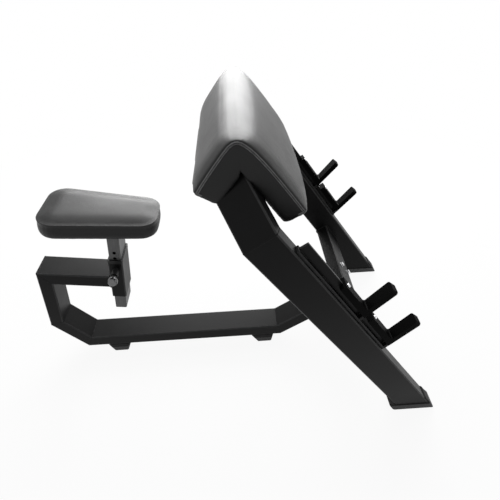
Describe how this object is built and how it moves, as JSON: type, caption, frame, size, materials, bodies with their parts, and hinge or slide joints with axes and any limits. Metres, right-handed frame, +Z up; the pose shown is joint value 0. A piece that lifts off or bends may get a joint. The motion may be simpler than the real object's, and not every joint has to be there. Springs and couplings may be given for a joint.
{
  "type": "preacher curl bench",
  "caption": "Preacher curl bench with a curved arm pad on splayed legs, a height-adjustable seat on a pinned post, and stepped bar hooks on each leg.",
  "frame": {"origin": "on the ground, under the middle of the whole length and of the width", "axes": "+Z up; +X from the seat towards the arm pad and the bar hooks; +Y to the left of someone sitting on the seat and facing the pad"},
  "size_m": [1.4148, 0.784, 1.0123],
  "materials": {
    "frame_paint": "satin black powder coat",
    "hook_coat": "matt black moulded coating",
    "pad_vinyl": "satin black vinyl",
    "backing_ply": "raw plywood",
    "rubber_foot": "matt black",
    "black_plastic": "matt black",
    "post_steel": "satin grey plated steel",
    "zinc": "bright zinc plate"
  },
  "bodies": {
    "frame": {"seat_arm": "frame_paint", "upright": "frame_paint", "knee_tube": "frame_paint", "floor_beam": "frame_paint", "riser": "frame_paint", "riser_flange": "frame_paint", "crossbar": "frame_paint", "leg_lower_left": "frame_paint", "leg_lower_right": "frame_paint", "leg_upper_left": "frame_paint", "leg_upper_right": "frame_paint", "boot_left": "rubber_foot", "boot_right": "rubber_foot", "beam_foot_rear": "rubber_foot", "beam_foot_front": "rubber_foot", "crossbar_bolt_a": "zinc", "crossbar_bolt_b": "zinc", "crossbar_bolt_c": "zinc", "crossbar_bolt_d": "zinc", "crossbar_nut_a": "zinc", "crossbar_nut_b": "zinc", "crossbar_nut_c": "zinc", "crossbar_nut_d": "zinc", "pad_bracket_left": "frame_paint", "pad_bracket_right": "frame_paint", "arm_pad_board": "backing_ply", "arm_pad_cushion": "pad_vinyl", "pad_screw_a": "zinc", "pad_screw_b": "zinc", "pad_screw_c": "zinc", "pad_screw_d": "zinc", "post_sleeve": "frame_paint", "sleeve_liner": "black_plastic", "pin_barrel": "frame_paint", "rack_base_left": "frame_paint", "rack_base_right": "frame_paint", "rack_web_left": "frame_paint", "rack_web_right": "frame_paint", "hook_upper_left": "hook_coat", "hook_upper_right": "hook_coat", "hook_lower_left": "hook_coat", "hook_lower_right": "hook_coat", "hook_screw_ul": "zinc", "hook_screw_ur": "zinc", "hook_screw_ll": "zinc", "hook_screw_lr": "zinc"},
    "pin": {"pin_shaft": "post_steel", "pin_knob": "post_steel"},
    "seat": {"seat_post": "post_steel", "post_cap": "black_plastic", "seat_plate": "frame_paint", "seat_board": "backing_ply", "seat_cushion": "pad_vinyl", "seat_screw_a": "zinc", "seat_screw_b": "zinc", "seat_screw_c": "zinc", "seat_screw_d": "zinc"}
  },
  "joints": [
    {"name": "seat_height", "type": "slide", "parent": "frame", "child": "seat", "axis": [0.1478, 0, 0.989], "range_m": [-0.075, 0.075]},
    {"name": "pin_pull", "type": "slide", "parent": "frame", "child": "pin", "axis": [0, -1, 0], "range_m": [0, 0.01], "stiffness_N_per_m": 400, "springref_m": -0.01}
  ]
}
